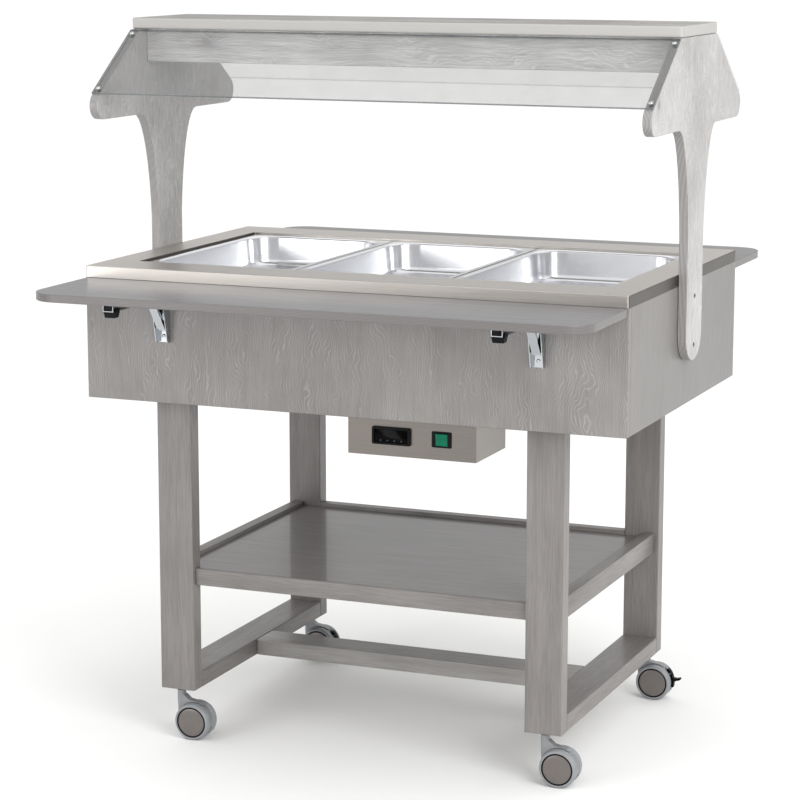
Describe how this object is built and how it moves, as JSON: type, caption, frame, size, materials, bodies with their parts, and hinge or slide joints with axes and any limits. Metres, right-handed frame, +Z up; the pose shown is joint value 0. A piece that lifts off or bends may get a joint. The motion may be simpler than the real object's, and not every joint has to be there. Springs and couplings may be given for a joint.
{
  "type": "steam table unit",
  "caption": "Wheeled wooden steam table: stainless deck over a heated water tank, lift-out food pans, canopy with clear guards, fold-down tray shelves, a low shelf and swivel casters.",
  "frame": {"origin": "on the floor, midway between the ends and midway between the front and back, trays up", "axes": "+Z up; -Y is the front, where the thermostat and switch are; +X to the right seen from the front"},
  "size_m": [1.1566, 1.211, 1.438],
  "materials": {
    "frame_wood": "grey stain under satin lacquer, straight grain",
    "panel_wood": "grey-stained plywood, swirling grain, satin lacquer",
    "shelf_wood": "grey stain, smooth semi-gloss lacquer",
    "canopy_wood": "light grey stain, satin lacquer",
    "tray_wood": "smooth blue-grey top, satin lacquer",
    "deck_steel": "brushed along its length",
    "tank_steel": "dull, as rolled",
    "pan_steel": "polished",
    "box_steel": "brushed sheet",
    "heater_steel": "heat-tinted sheath",
    "bracket_chrome": "bright",
    "black_plastic": "fine-textured",
    "green_plastic": "clear green lens",
    "caster_plastic": "silver-grey moulded",
    "clear_sheet": "clear polished sheet"
  },
  "bodies": {
    "table": {"leg_front_left": "frame_wood", "leg_front_right": "frame_wood", "leg_back_left": "frame_wood", "leg_back_right": "frame_wood", "rail_bottom_left": "frame_wood", "rail_bottom_right": "frame_wood", "stretcher": "frame_wood", "shelf_frame": "frame_wood", "shelf_panel": "shelf_wood", "shelf_front_edge": "frame_wood", "cabinet_front": "panel_wood", "cabinet_back": "panel_wood", "cabinet_end_left": "panel_wood", "cabinet_end_right": "panel_wood", "cabinet_floor": "panel_wood", "deck": "deck_steel", "well_tank": "tank_steel", "heating_element": "heater_steel", "control_box": "box_steel", "thermostat": "black_plastic", "cable_gland": "black_plastic", "support_left": "canopy_wood", "support_right": "canopy_wood", "canopy_board": "canopy_wood", "fascia_front": "canopy_wood", "fascia_back": "canopy_wood", "guard_front": "clear_sheet", "guard_back": "clear_sheet", "wall_channel_front_left": "bracket_chrome", "wall_channel_front_right": "bracket_chrome", "wall_channel_back_left": "bracket_chrome", "wall_channel_back_right": "bracket_chrome"},
    "front_tray": {"tray_front": "tray_wood", "arm_front_left": "bracket_chrome", "arm_front_right": "bracket_chrome"},
    "front_left_strut": {"strut_front_left": "bracket_chrome"},
    "front_left_catch": {"catch_front_left": "black_plastic"},
    "front_right_strut": {"strut_front_right": "bracket_chrome"},
    "front_right_catch": {"catch_front_right": "black_plastic"},
    "back_tray": {"tray_back": "tray_wood", "arm_back_left": "bracket_chrome", "arm_back_right": "bracket_chrome"},
    "back_left_strut": {"strut_back_left": "bracket_chrome"},
    "back_left_catch": {"catch_back_left": "black_plastic"},
    "back_right_strut": {"strut_back_right": "bracket_chrome"},
    "back_right_catch": {"catch_back_right": "black_plastic"},
    "front_left_caster": {"caster_fork_front_left": "caster_plastic"},
    "front_left_wheels": {"caster_wheels_front_left": "caster_plastic"},
    "front_right_caster": {"caster_fork_front_right": "caster_plastic"},
    "front_right_wheels": {"caster_wheels_front_right": "caster_plastic"},
    "back_left_caster": {"caster_fork_back_left": "caster_plastic"},
    "back_left_wheels": {"caster_wheels_back_left": "caster_plastic"},
    "back_left_brake": {"brake_lever_back_left": "black_plastic"},
    "back_right_caster": {"caster_fork_back_right": "caster_plastic"},
    "back_right_wheels": {"caster_wheels_back_right": "caster_plastic"},
    "back_right_brake": {"brake_lever_back_right": "black_plastic"},
    "rocker": {"rocker": "green_plastic"},
    "left_pan": {"pan_left": "pan_steel"},
    "middle_pan": {"pan_middle": "pan_steel"},
    "right_pan": {"pan_right": "pan_steel"}
  },
  "joints": [
    {"name": "front_tray_fold", "type": "hinge", "parent": "table", "child": "front_tray", "pos_m": [0, -0.394, 0.9157], "axis": [1, 0, 0], "range_deg": [0, 90]},
    {"name": "front_left_strut_swing", "type": "hinge", "parent": "table", "child": "front_left_strut", "pos_m": [-0.388, -0.3785, 0.848], "axis": [1, 0, 0], "range_deg": [0, 136]},
    {"name": "front_left_catch_slide", "type": "slide", "parent": "front_tray", "child": "front_left_catch", "axis": [0, -1, 0], "range_m": [0, 0.005], "stiffness_N_per_m": 80},
    {"name": "front_right_strut_swing", "type": "hinge", "parent": "table", "child": "front_right_strut", "pos_m": [0.388, -0.3785, 0.848], "axis": [1, 0, 0], "range_deg": [0, 136]},
    {"name": "front_right_catch_slide", "type": "slide", "parent": "front_tray", "child": "front_right_catch", "axis": [0, -1, 0], "range_m": [0, 0.005], "stiffness_N_per_m": 80},
    {"name": "back_tray_fold", "type": "hinge", "parent": "table", "child": "back_tray", "pos_m": [0, 0.394, 0.9157], "axis": [-1, 0, 0], "range_deg": [0, 90]},
    {"name": "back_left_strut_swing", "type": "hinge", "parent": "table", "child": "back_left_strut", "pos_m": [-0.388, 0.3785, 0.848], "axis": [-1, 0, 0], "range_deg": [0, 136]},
    {"name": "back_left_catch_slide", "type": "slide", "parent": "back_tray", "child": "back_left_catch", "axis": [0, 1, 0], "range_m": [0, 0.005], "stiffness_N_per_m": 80},
    {"name": "back_right_strut_swing", "type": "hinge", "parent": "table", "child": "back_right_strut", "pos_m": [0.388, 0.3785, 0.848], "axis": [-1, 0, 0], "range_deg": [0, 136]},
    {"name": "back_right_catch_slide", "type": "slide", "parent": "back_tray", "child": "back_right_catch", "axis": [0, 1, 0], "range_m": [0, 0.005], "stiffness_N_per_m": 80},
    {"name": "front_left_swivel", "type": "hinge", "parent": "table", "child": "front_left_caster", "pos_m": [-0.39, -0.3115, 0.09], "axis": [0, 0, 1], "continuous": true},
    {"name": "front_left_roll", "type": "hinge", "parent": "front_left_caster", "child": "front_left_wheels", "pos_m": [-0.359, -0.3115, 0.0375], "axis": [0, 1, 0], "continuous": true},
    {"name": "front_right_swivel", "type": "hinge", "parent": "table", "child": "front_right_caster", "pos_m": [0.39, -0.3115, 0.09], "axis": [0, 0, 1], "continuous": true},
    {"name": "front_right_roll", "type": "hinge", "parent": "front_right_caster", "child": "front_right_wheels", "pos_m": [0.421, -0.3115, 0.0375], "axis": [0, 1, 0], "continuous": true},
    {"name": "back_left_swivel", "type": "hinge", "parent": "table", "child": "back_left_caster", "pos_m": [-0.39, 0.3115, 0.09], "axis": [0, 0, 1], "continuous": true},
    {"name": "back_left_roll", "type": "hinge", "parent": "back_left_caster", "child": "back_left_wheels", "pos_m": [-0.359, 0.3115, 0.0375], "axis": [0, 1, 0], "continuous": true},
    {"name": "back_left_brake_press", "type": "hinge", "parent": "back_left_caster", "child": "back_left_brake", "pos_m": [-0.32609, 0.3115, 0.0565], "axis": [0, 1, 0], "range_deg": [0, 14]},
    {"name": "back_right_swivel", "type": "hinge", "parent": "table", "child": "back_right_caster", "pos_m": [0.39, 0.3115, 0.09], "axis": [0, 0, 1], "continuous": true},
    {"name": "back_right_roll", "type": "hinge", "parent": "back_right_caster", "child": "back_right_wheels", "pos_m": [0.421, 0.3115, 0.0375], "axis": [0, 1, 0], "continuous": true},
    {"name": "back_right_brake_press", "type": "hinge", "parent": "back_right_caster", "child": "back_right_brake", "pos_m": [0.45391, 0.3115, 0.0565], "axis": [0, 1, 0], "range_deg": [0, 14]},
    {"name": "rocker_tilt", "type": "hinge", "parent": "table", "child": "rocker", "pos_m": [0.189, -0.349, 0.6645], "axis": [-1, 0, 0], "range_deg": [0, 10]},
    {"name": "left_pan_lift", "type": "slide", "parent": "table", "child": "left_pan", "axis": [0, 0, 1], "range_m": [0, 0.15]},
    {"name": "middle_pan_lift", "type": "slide", "parent": "table", "child": "middle_pan", "axis": [0, 0, 1], "range_m": [0, 0.15]},
    {"name": "right_pan_lift", "type": "slide", "parent": "table", "child": "right_pan", "axis": [0, 0, 1], "range_m": [0, 0.15]}
  ],
  "couplings": [
    {"joint": "front_left_strut_swing", "follows": "front_tray_fold", "ratio": 1.4851},
    {"joint": "front_right_strut_swing", "follows": "front_tray_fold", "ratio": 1.4851},
    {"joint": "back_left_strut_swing", "follows": "back_tray_fold", "ratio": 1.4851},
    {"joint": "back_right_strut_swing", "follows": "back_tray_fold", "ratio": 1.4851}
  ]
}
